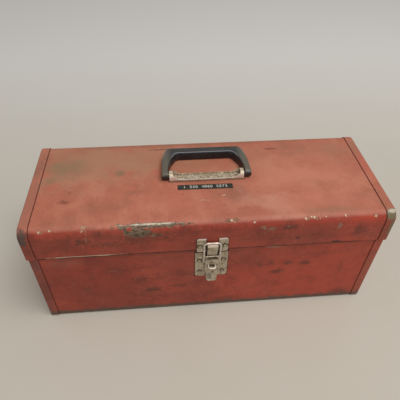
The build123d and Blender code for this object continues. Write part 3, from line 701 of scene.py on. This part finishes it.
lid_low, lid_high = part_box("lid_wrapper")
lid_front = lid_low.y
lid_top = lid_high.z
lid_middle = (lid_front + lid_rear) / 2
lid_flange_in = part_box("lid_end_right")[0].x
lid_radius = 13.0 * mm
handle_low, handle_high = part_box("handle_base")
label_low, label_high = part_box("label_tape")


def clear_of(x, y, low, high, margin):
    """0 over a fitting's footprint, rising to 1 beyond a margin round it."""
    out_x = max(low.x - x, x - high.x, 0.0)
    out_y = max(low.y - y, y - high.y, 0.0)
    return smooth(math.hypot(out_x, out_y), 2 * mm, margin)


def lid_moved(x, y, z):
    """Shallow hollows in the lid's top and front, and the crushed stretch of its front corner."""
    hold = smooth(lid_flange_in - abs(x), 1 * mm, 36 * mm)
    top = smooth(z, lid_top - 2.2 * sheet, lid_top - 1.2 * sheet)
    top *= smooth(y, lid_front + 12 * mm, lid_front + 40 * mm)
    top *= smooth(lid_rear - y, 12 * mm, 40 * mm)
    top *= clear_of(x, y, handle_low, handle_high, 24 * mm)
    top *= clear_of(x, y, label_low, label_high, 18 * mm)
    sink = 0.9 * mm * dent(x, y, 5.0, 80 * mm) + 0.3 * mm * dent(x, y, 9.0, 28 * mm)
    front = smooth(lid_front + 2.2 * sheet - y, 0.0, sheet) * smooth(lid_top - z, 10 * mm, 20 * mm)
    front *= smooth(z - seam_z, 2 * mm, 12 * mm) * smooth(abs(x), latch_half_width, 46 * mm)
    push = 0.6 * mm * dent(x, z, 15.0, 60 * mm)
    crush = smooth(x, -118 * mm, -104 * mm) * smooth(-30 * mm - x, 0.0, 14 * mm)
    crush *= smooth(lid_front + 22 * mm - y, 0.0, 14 * mm) * smooth(z, lid_top - 20 * mm, lid_top - 6 * mm)
    ripple = mathutils.noise.noise(mathutils.Vector((x / (7 * mm), y / (5 * mm), z / (5 * mm))))
    knock = crush * (0.8 + 0.9 * ripple) * mm
    return (x, y + front * push * hold + 0.7 * knock, z - top * sink * hold - 0.7 * knock)


outside = folded(lid_front, lid_rear, seam_z, lid_top, lid_radius, 10)
inside = folded(
    lid_front + sheet, lid_rear - sheet, seam_z, lid_top - sheet, lid_radius - sheet, 10
)
crush_left = -122 * mm
crush_right = -26 * mm
lid_places = stations(lid_low.x, crush_left, 4 * mm)[:-1] + stations(crush_left, crush_right, 1.6 * mm)
lid_places += stations(crush_right, lid_high.x, 4 * mm)[1:]
lid_mesh = drawn_out(spread(outside + inside[::-1], 3.6 * mm), lid_places, lid_moved)


def on_top(rows, depth=9):
    """Marks on the lid's top: X, Y, half length, half width, then the rest of each row."""
    return [(x, y, lid_top / mm, rx, ry, depth, *rest) for x, y, rx, ry, *rest in rows]


lid_grime = on_top([
    (-165, 44, 70, 42, 0.6, (170, 130, 102)),
    (-70, 56, 80, 26, 0.5, (172, 128, 100)),
    (-199, 38, 24, 15, 0.5, green_grime),
    (-121, 21, 7, 6, 0.7, green_grime),
    (-218, 11, 8, 8, 0.45, green_grime),
    (-100, -20, 12, 5, 0.35, (128, 86, 72)),
    (-10, 24, 44, 16, 0.4, (170, 116, 88)),
    (78, 34, 30, 26, 0.45, (178, 124, 98)),
    (160, 60, 60, 16, 0.35, (168, 118, 94)),
    (200, 54, 16, 20, 0.3, (154, 118, 92)),
    (40, -34, 16, 12, 0.55, (120, 76, 60)),
    (34, -21, 14, 6, 0.45, (124, 90, 72)),
    (82, -51, 24, 16, 0.45, (204, 150, 128)),
    (60, -40, 30, 14, 0.35, (200, 142, 118)),
    (130, 4, 80, 40, 0.4, (204, 130, 106)),
    (160, -70, 34, 6, 0.5, (140, 112, 84)),
    (150, -54, 70, 16, 0.4, (206, 130, 108)),
    (-40, -46, 60, 20, 0.25, (198, 118, 98)),
    (-30, 84, 120, 5, 0.4, (120, 88, 72)),
])
lid_smudges = on_top(
    [(-192, -32, 5, 3, 0.6), (104, 66, 8, 2, 0.6), (-60, 74, 20, 2, 0.5), (-186, -14, 3, 3, 0.3)]
)
lid_smudges += on_wall(lid_front, [
    (-150, 176, 40, 7, 0.3),
    (-210, 158, 40, 16, 0.3),
    (-164, 164, 9, 5, 0.6),
    (-146, 177, 5, 4, 0.5),
    (-134, 158, 19, 4, 0.45),
    (-84, 166, 30, 9, 0.45),
    (-60, 175, 40, 7, 0.3),
    (99, 173, 8, 5, 0.7),
    (115, 151, 2.2, 1.8, 1.0),
    (194, 162, 4, 14, 0.35),
    (60, 158, 26, 9, 0.25),
    (172, 138.4, 9, 2.4, 0.95),
    (150, 154, 50, 8, 0.2),
])
lid_smudges += on_wall(lid_rear, [(60, 165, 50, 9, 0.35), (-120, 160, 34, 12, 0.35)])
chip_grey = (150, 138, 108)
chip_white = (224, 206, 176)
corner_y = lid_front / mm + 5
corner_z = lid_top / mm - 2
corner_chips = [
    (-161, 1.6, 1, 2.6, 1.8, 3, (190, 160, 130)),
    (-163, -1.6, -1.4, 1.2, 1.8, 2, (196, 168, 140)),
    (-215, -1, -1, 1.5, 1.1, 2, chip_white),
    (-212, -1.6, -1.4, 1.4, 1.2, 2, chip_grey),
    (-202, 0, 0, 1.2, 1.0, 2, chip_white),
    (-120, 3, 1.4, 1.8, 1.0, 2, chip_grey),
    (20, 1, 1, 2.8, 1.9, 2, (112, 94, 60)),
    (29, 1.4, 1, 3.0, 2.0, 2, (126, 104, 68)),
    (24, 1.6, 1, 1.3, 0.8, 2, chip_white),
    (27, -0.6, 0, 0.9, 0.9, 2, chip_white),
    (53, -1.8, -1.4, 1.0, 0.9, 2, chip_white),
    (120, -0.8, -1, 1.6, 1.1, 2, chip_white),
    (124, -1.8, -1.6, 1.2, 1.0, 2, chip_grey),
    (128, 0.6, 0, 1.1, 0.9, 2, chip_white),
    (131.5, 0.2, 0, 1.4, 1.2, 2, chip_white),
    (135, -1.6, -1.4, 1.1, 0.9, 2, chip_grey),
    (139, -1.2, -1.2, 0.9, 0.8, 2, chip_white),
    (147, 0, 0, 0.8, 0.8, 2, chip_white),
    (173, 0, 0.2, 1.1, 1.4, 2, chip_white),
    (214, -2, -2, 1.4, 1.0, 2, chip_white),
]
top_chips = [
    (-186, -8, 1.4, 0.7, (206, 150, 126)),
    (20, -33, 3.4, 1.3, (208, 162, 134)),
    (-9, -41, 3.6, 0.9, (208, 160, 134)),
    (-3, -42, 3.0, 0.8, (208, 160, 134)),
    (84, -46, 1.0, 2.0, (208, 162, 138)),
]
lid_chips = [(x, corner_y + y, corner_z + z, *rest) for x, y, z, *rest in corner_chips]
lid_chips += on_top(top_chips, 3)
lid_chips += on_wall(lid_front, [
    (66, 174, 3.4, 2.2, (150, 122, 98)),
    (75, 171, 5, 2.4, (148, 118, 94)),
    (167, 170, 2.4, 3.6, (158, 120, 102)),
    (-160, 169, 1.2, 5, (166, 104, 82)),
    (-159, 181, 1.0, 3, (176, 112, 90)),
    (98, 174, 3, 1.4, (140, 96, 70)),
])


def lid_wear_and_edge_highlight(finish):
    """The long scrape on the front corner, its torn pale ridge and a painted highlight along the lower
    edge at the left.
    """
    scrape = finish.blot(-78, corner_y + 0.6, corner_z, 42, 4.2, 4.2, 0.55, 0.14, 6)
    tongue = finish.blot(-95, lid_front / mm + 1, 177, 16, 5, 7.0, 0.8, 0.2, 6)
    thin = finish.blot(-86, lid_front / mm, 171, 27, 3, 2.2, 0.9, 0.3, 6)
    streak = finish.noise(4, 5.0, 0.75, (0.6, 2.2, 2.2), 3.0)
    tint = finish.mix(finish.ramp(streak, 0.42, 0.6), (74, 58, 45), (136, 116, 92))
    ridge = finish.blot(-76, corner_y + 2.2, corner_z + 1, 38, 1.5, 1.5, 0.5, 0.5, 4)
    tint = finish.mix(ridge, tint, (222, 208, 186))
    # Painted highlight: a pale line along the lid's lower edge, at the left.
    stretch = finish.blot(-160, lid_front / mm, seam, 46, 9, 5, 0.4, 0.3, 9)
    edge = finish.product(finish.along("Z", seam + 2.3, seam + 1.3), stretch)
    tint = finish.mix(edge, tint, (228, 196, 170))
    return finish.larger(scrape, tongue, finish.product(thin, 0.8), edge), tint


def lid_dirt_and_shadow_lines(finish):
    """Dirt by the end flanges, round the handle's base and the keeper and along the rear edge, and a
    painted shadow along the lower edge.
    """
    flanges = finish.product(finish.beside(lid_flange_in / mm, 1.7, 0.5), 0.85)
    across = finish.size_of(finish.less(finish.axis("Y"), (handle_low.y + handle_high.y) / 2))
    round_base = finish.product(
        finish.ramp(across, 10.5 * mm, 7.2 * mm),
        finish.aside(handle_high.x / mm + 3, handle_high.x / mm),
        0.45,
    )
    rear = finish.product(
        finish.along("Y", lid_rear / mm - 9, lid_rear / mm - 2),
        finish.specks(16, 0.5, 0.62, shift=14.0),
        0.5,
    )
    # Painted shadow along the lid's lower edge, broken up.
    broken = finish.span(finish.specks(40, 0.4, 0.5, shift=17.0), 0.3, 0.85)
    edge = finish.product(finish.along("Z", seam + 1.3, seam + 0.4), broken)
    round_keeper = finish.product(
        finish.aside(22.8, 21.2),
        finish.along("Z", seam + 23.6, seam + 22.4),
        finish.aside(6.6, 8.4),
        finish.along("Y", 0, -1),
        0.6,
    )
    return finish.larger(flanges, round_base, round_keeper, rear, edge)


lid_enamel = worn_enamel(
    "lid_enamel", grime_and_painted_light=lid_grime, smudges=lid_smudges, chips=lid_chips, wear_and_highlight=lid_wear_and_edge_highlight, dirt_and_shadow_lines=lid_dirt_and_shadow_lines
)
piece("lid_wrapper_folded", lid_mesh, lid_enamel, "lid", "lid_wrapper")

# ---- Lid ends ----
# Pressed end panels with flanges folded over the wrapper. The front corners take every knock:
# the right one is bare metal gone green, the left one is scuffed blue-grey.


def lid_end_wear(finish):
    """Bare metal on the front corners and along the bend between panel and flange."""
    ragged = finish.product(finish.less(finish.noise(7, 4.0, 0.7, shift=2.0), 0.5), 10 * mm)
    right = finish.blot(236, corner_y - 1, corner_z - 1, 10, 8, 8, 0.45, 0.25, 6)
    below = finish.product(finish.blot(240.5, lid_front / mm, 164, 4, 6, 16, 0.6, 0.4, 6), 0.8)
    left = finish.product(finish.blot(-237, corner_y - 3, corner_z - 7, 8, 8, 12, 0.6, 0.35, 6), 0.85)
    bend = finish.aside(240.6, 241.8, finish.product(ragged, 0.25))
    bend = finish.product(bend, finish.along("Z", 176, 184), 0.55)
    tint = finish.mix(finish.along("X", -100, 100), (74, 69, 63), (122, 108, 84))
    pale = finish.blot(236, corner_y + 2, corner_z + 1.4, 5.0, 2.6, 3, 0.4, 0.3, 4)
    return finish.larger(right, below, left, bend), finish.mix(pale, tint, (188, 180, 160))


cap_grime = [
    (-236, -25, 187, 10, 60, 9, 0.55, (158, 104, 88)),
    (-236, 50, 187, 10, 30, 9, 0.5, (140, 98, 80)),
    (236, 60, 187, 10, 20, 9, 0.5, (142, 114, 92)),
    (236, 15, 187, 10, 40, 9, 0.4, (186, 96, 78)),
    (236, -84, 160, 12, 10, 20, 0.35, (116, 78, 60)),
    (-236, -86, 150, 12, 10, 14, 0.4, (80, 52, 50)),
]
lid_end_enamel = worn_enamel(
    "lid_end_enamel", light=0.04, grime_and_painted_light=cap_grime, smudges=end_smudges, wear_and_highlight=lid_end_wear
)
coat(lid_end_enamel, "lid_end_left", "lid_end_right")

# ---- Latch keeper ----
# The nickel-plated plate on the lid: two ears, and between them the hook that the wire loop
# pulls on. A tubular rivet goes through each ear.

coat(nickel, "latch_keeper")
head_rise = 0.9 * mm
keeper_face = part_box("latch_keeper_rivets")[0].y + head_rise
rivet_row(
    "latch_keeper_rivets", both_sides(keeper_rivet, keeper_face),
    face_front, latch_profile, nickel, "lid",
)

# ---- Handle base, rivets, pins and backing plate ----
# A pressed steel channel riveted through the lid to a plate inside. Its ears carry the handle's
# pins. Its plating has worn to a warm, pitted grey that is darkest along the floor.

base_y = lid_middle / mm
base_z = lid_top / mm


def channel_grime(finish):
    """Brown specks over the channel's floor and rear lip, and a stain along its front face."""
    specked = finish.product(
        finish.along("Y", base_y - 5.0, base_y - 3.6),
        finish.along("Z", base_z + 5.0, base_z + 3.4),
        finish.specks(2.6, 0.46, 0.56, shift=3.0, detail=3.0),
        0.5,
    )
    face = finish.along("Y", base_y - 6.9, base_y - 7.2)
    below = finish.along("Z", base_z + 2.6, base_z + 1.4)
    return finish.larger(specked, finish.product(face, below, 0.5))


def channel_rim_highlight(finish):
    """A painted highlight along the front lip's upper edge."""
    lip = finish.along("Y", base_y - 5.8, base_y - 6.0)
    return finish.product(lip, finish.along("Z", base_z + 2.4, base_z + 3.0), 0.75)


channel_metal = plated_metal(
    "pitted_channel", (222, 206, 182), (186, 168, 140), (142, 116, 84),
    rough=0.38, pits=0.5, scale=1.0, metal=0.3, grime_and_painted_light=channel_grime, rubbed_and_highlight=channel_rim_highlight,
)
coat(channel_metal, "handle_base")
# The nickel finish paints its highlight over everything above the keeper's ears, so the pins and backing
# plate come out mostly in the pale highlight tint.
coat(nickel, "handle_pins", "handle_backing_plate")
channel_sheet = 1.2 * mm
backing_sheet = 1.2 * mm
base_floor = lid_top + channel_sheet
base_grip = channel_sheet + sheet + backing_sheet
rivet_row(
    "handle_base_rivets", [(x * mm, lid_middle, base_floor) for x in (-38, -14, 14, 38)],
    face_up, rivet_profile(3.2 * mm, 0.8 * mm, 1.7 * mm, base_grip, True),
    channel_metal, "lid",
)

# ---- Carry handle ----
# Black moulded plastic, folded back flat on the lid. Its outer face is broad and slopes up to a
# ridge round the opening; dust sits on it, and the grip's ridge has a painted highlight.

pivot_y = (handle_low.y + handle_high.y) / 2
pivot_z = 193.3 * mm
half_thick = 6.5 * mm
leg_outer = 62.5 * mm
leg_inner = 52.4 * mm
leg_bow = 61.2 * mm
bow_reach = 30.0 * mm
grip_outer = 55.5 * mm
grip_inner = 39.8 * mm
reach = 54.5 * mm
grip_width = 14.8 * mm
ear_clear = 8.5 * mm
shoulder = 25.0 * mm
shoulder_inner = 48.4 * mm
outer_corner = 9.0 * mm


def rounded_path(points, radii, step):
    """A run of straight stretches joined by arcs, as points no further apart than step."""
    path = [mathutils.Vector(points[0])]
    for before, corner, after, radius in zip(points, points[1:], points[2:], radii):
        corner = mathutils.Vector(corner)
        back = (mathutils.Vector(before) - corner).normalized()
        on = (mathutils.Vector(after) - corner).normalized()
        half = back.angle(on) / 2
        setback = radius / math.tan(half)
        centre = corner + (back + on).normalized() * (radius / math.sin(half))
        start = corner + back * setback - centre
        end = corner + on * setback - centre
        turn = math.pi - 2 * half
        steps = round(turn * radius / step) + 3
        for i in range(steps + 1):
            from_start = start * math.sin((1 - i / steps) * turn)
            from_end = end * math.sin(i / steps * turn)
            path.append(centre + (from_start + from_end) / math.sin(turn))
    path.append(mathutils.Vector(points[-1]))
    return path


def even(path, count):
    """The same path cut into equal lengths, as count points."""
    runs = [0.0]
    for a, b in zip(path, path[1:]):
        runs.append(runs[-1] + (b - a).length)
    out = []
    for i in range(count):
        goal = runs[-1] * i / (count - 1)
        j = max(0, min(len(path) - 2, sum(1 for run in runs[1:-1] if run < goal)))
        share = (goal - runs[j]) / max(runs[j + 1] - runs[j], 1e-9)
        out.append(path[j].lerp(path[j + 1], share))
    return out


far_y = pivot_y + reach
outer_line = rounded_path(
    [
        (-leg_outer, pivot_y),
        (-leg_bow, pivot_y + bow_reach),
        (-grip_outer, far_y),
        (grip_outer, far_y),
        (leg_bow, pivot_y + bow_reach),
        (leg_outer, pivot_y),
    ],
    [60 * mm, outer_corner, outer_corner, 60 * mm],
    2 * mm,
)
inner_line = rounded_path(
    [
        (-leg_inner, pivot_y),
        (-leg_inner, pivot_y + ear_clear),
        (-shoulder_inner, pivot_y + shoulder),
        (-grip_inner, far_y - grip_width),
        (grip_inner, far_y - grip_width),
        (shoulder_inner, pivot_y + shoulder),
        (leg_inner, pivot_y + ear_clear),
        (leg_inner, pivot_y),
    ],
    [12 * mm, 9 * mm, 7 * mm, 7 * mm, 9 * mm, 12 * mm],
    2 * mm,
)
slices = 97
# The section, as a share of the way out from the opening and of the half thickness.
handle_section = [
    (0.16, -1.0), (0.5, -1.0), (0.84, -1.0), (0.93, -0.95), (0.985, -0.82), (1.0, -0.6), (1.0, -0.1),
    (1.0, 0.46), (0.985, 0.7), (0.94, 0.82), (0.86, 0.87), (0.6, 0.92), (0.34, 0.965), (0.22, 0.985),
    (0.16, 0.965), (0.11, 0.88), (0.075, 0.6), (0.04, 0.2), (0.01, -0.2), (0.0, -0.55), (0.02, -0.82),
    (0.07, -0.95),
]


def handle_slice(outer, inner, back=0.0):
    """One slice: broad sloping top, a ridge near the opening, a raked inner wall.

    back rounds off the end of a leg, from 0 at its full section to 1 at its tip.
    """
    tall = half_thick * math.sqrt(1 - back * back)
    points = []
    for share, height in reversed(handle_section):
        across = inner.lerp(outer, share)
        points.append((across.x, across.y - half_thick * back, pivot_z + tall * height))
    return points


handle_lines = list(zip(even(outer_line, slices), even(inner_line, slices)))
tips = [0.999, 0.93, 0.8, 0.6, 0.36, 0.14]
handle_slices = [handle_slice(*handle_lines[0], back) for back in tips]
handle_slices += [handle_slice(*pair) for pair in handle_lines]
handle_slices += [handle_slice(*handle_lines[-1], back) for back in reversed(tips)]

plastic = Finish("black_moulded_plastic")
grain = plastic.noise(1.6, 3.0, 0.6)
patchy = plastic.noise(14, 4.0, 0.6, shift=3.0)
tilt = plastic.up()
upward = plastic.ramp(tilt, 0.1, 0.95)
dust = plastic.product(upward, plastic.span(patchy, 0.35, 0.95))
shade = plastic.mix(plastic.ramp(patchy, 0.4, 0.7), (24, 24, 29), (36, 36, 41))
shade = plastic.mix(plastic.product(dust, 0.8), shade, (82, 82, 80))
leg_film = plastic.product(plastic.aside(46, 56), upward, 0.85)
shade = plastic.mix(leg_film, shade, (104, 98, 86))
grip_y = far_y / mm
# Painted highlight along the grip's ridge, on facets tilted towards the front.
ridge_highlight = plastic.product(
    plastic.ramp(tilt, 0.66, 0.78),
    plastic.ramp(tilt, 0.975, 0.93),
    plastic.along("Y", grip_y - 2, grip_y - 5),
    plastic.along("Y", pivot_y / mm + 26, pivot_y / mm + 34),
    0.75,
)
shade = plastic.mix(ridge_highlight, shade, (142, 142, 152))
nicks = plastic.specks(2.4, 0.66, 0.72, (0.5, 1, 1), shift=5.0)
shade = plastic.mix(plastic.product(nicks, 0.5), shade, (128, 124, 112))
plastic.relief(plastic.less(plastic.product(grain, 0.4), nicks), 0.12)
shine = plastic.sum_of(plastic.span(grain, 0.26, 0.4), plastic.product(dust, 0.2))
plastic.apply(Base_Color=shade, Roughness=shine)
piece(
    "carry_handle_moulded", skinned(handle_slices), plastic.material, "handle",
    "carry_handle", 40,
)

# ---- Label tape ----
# A strip of black embossing tape stuck on the lid. The punched digits stand up and have turned
# white where the vinyl was stretched.

vinyl = Finish("embossing_tape")
cloud = vinyl.noise(6, 3.0, 0.6)
shade = vinyl.mix(vinyl.ramp(cloud, 0.4, 0.7), (36, 37, 32), (58, 57, 50))
flecks = vinyl.specks(1.4, 0.62, 0.7)
shade = vinyl.mix(vinyl.product(flecks, 0.4), shade, (120, 112, 98))
vinyl.relief(cloud, 0.08)
vinyl.apply(Base_Color=shade, Roughness=vinyl.span(cloud, 0.34, 0.5))
coat(vinyl.material, "label_tape")

stretched_vinyl = Finish("stretched_vinyl")
chalk = stretched_vinyl.noise(1.2, 3.0, 0.7, shift=2.0)
worn_white = stretched_vinyl.ramp(chalk, 0.42, 0.6)
tint = stretched_vinyl.mix(worn_white, (222, 220, 208), (136, 134, 124))
stretched_vinyl.relief(chalk, 0.05)
stretched_vinyl.apply(Base_Color=tint, Roughness=stretched_vinyl.span(chalk, 0.5, 0.7))
digit_height = 7.0 * mm
digit_rise = 0.16 * mm
digit_bevel = 0.1 * mm
label_turn = math.radians(-0.8)
digits = bpy.data.curves.new("label_digits", type="FONT")
digits.body = "1  250  4860  0573"
digits.size = digit_height
digits.space_character = 1.12
digits.extrude = digit_rise
digits.bevel_depth = digit_bevel
digits.align_x = "CENTER"
digits.align_y = "CENTER"
flat_text = bpy.data.objects.new("label_text", digits)
bpy.context.scene.collection.objects.link(flat_text)
bpy.context.view_layer.update()
made_text = flat_text.evaluated_get(bpy.context.evaluated_depsgraph_get())
text_mesh = bpy.data.meshes.new_from_object(made_text)
bpy.data.objects.remove(flat_text)
label_middle = (label_low + label_high) / 2
digits_place = (label_middle.x, label_middle.y, label_high.z + digit_bevel)
lay = mathutils.Matrix.Translation(digits_place) @ mathutils.Matrix.Rotation(label_turn, 4, "Z")
text_mesh.transform(lay)
text_mesh.materials.clear()
text_mesh.materials.append(stretched_vinyl.material)
raised = bpy.data.objects.new("label_digits", text_mesh)
bpy.context.scene.collection.objects.link(raised)
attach(raised, "lid")

# ---- Tray ----
# A shallow pressed tray with two low dividers and a strap handle riveted to its floor. It lifts
# straight out, and has kept more of its red than the outside has.

tray_enamel = worn_enamel(
    "tray_enamel", dusty=0.3, grime_and_painted_light=[(0, 0, 101, 90, 40, 5, 0.6, (96, 70, 56))]
)
coat(tray_enamel, "tray_pan", "tray_divider_left", "tray_divider_right")
coat(hinge_steel, "tray_handle", "tray_handle_rivets")

# ---- Floor, light and camera ----
# A plain pale floor under one wide soft lamp and a weak even light from all round, seen from the
# front and well above.

floor_finish = Finish("pale_floor")
mottle = floor_finish.noise(160, 4.0, 0.6)
floor_tint = floor_finish.mix(mottle, (198, 192, 180), (205, 200, 189))
far_side = floor_finish.along("Y", 100, 900)
floor_tint = floor_finish.mix(far_side, floor_tint, (226, 224, 221))
floor_finish.apply(Base_Color=floor_tint, Roughness=0.8)
floor_half = 8.0
floor_corners = [(x * floor_half, y * floor_half, 0) for x, y in ((-1, -1), (1, -1), (1, 1), (-1, 1))]
floor_mesh = bpy.data.meshes.new("floor")
floor_mesh.from_pydata(floor_corners, [], [(0, 1, 2, 3)])
floor_mesh.materials.append(floor_finish.material)
floor = bpy.data.objects.new("floor", floor_mesh)
bpy.context.scene.collection.objects.link(floor)

world = bpy.data.worlds.new("soft_room")
world.use_nodes = True
room_light = world.node_tree.nodes["Background"].inputs
room_light["Color"].default_value = (1.0, 0.985, 0.965, 1.0)
room_light["Strength"].default_value = 0.30
bpy.context.scene.world = world

lamp = bpy.data.lights.new("ceiling_light", type="AREA")
lamp.shape = "RECTANGLE"
lamp.size = 2.4
lamp.size_y = 1.8
lamp.energy = 70
lamp.color = (1.0, 0.97, 0.93)
lamp_place = mathutils.Vector((0.7, -0.9, 3.0))
lamp_aim = mathutils.Vector((0.0, 0.0, 0.1))
lamp_holder = bpy.data.objects.new("ceiling_light", lamp)
lamp_holder.location = lamp_place
lamp_holder.rotation_euler = (lamp_aim - lamp_place).to_track_quat("-Z", "Y").to_euler()
bpy.context.scene.collection.objects.link(lamp_holder)

azimuth = math.radians(-6.161)
elevation = math.radians(43.403)
roll = math.radians(1.449)
distance = 599.74 * mm
target = mathutils.Vector((-9.03, -2.16, 149.47)) * mm
level = math.cos(elevation)
back = mathutils.Vector((math.sin(azimuth) * level, -math.cos(azimuth) * level, math.sin(elevation)))
right = (-back).cross(mathutils.Vector((0, 0, 1))).normalized()
up = right.cross(-back)
rolled_right = math.cos(roll) * right + math.sin(roll) * up
rolled_up = math.cos(roll) * up - math.sin(roll) * right
lens = bpy.data.cameras.new("camera")
lens.lens = 37.10
lens.sensor_width = 36.0
lens.clip_start = 0.01
lens.clip_end = 50.0
viewer = bpy.data.objects.new("camera", lens)
axes = mathutils.Matrix((rolled_right, rolled_up, back)).transposed().to_4x4()
viewer.matrix_world = mathutils.Matrix.Translation(target + back * distance) @ axes
bpy.context.scene.collection.objects.link(viewer)
bpy.context.scene.camera = viewer
bpy.context.scene.view_settings.view_transform = "Standard"
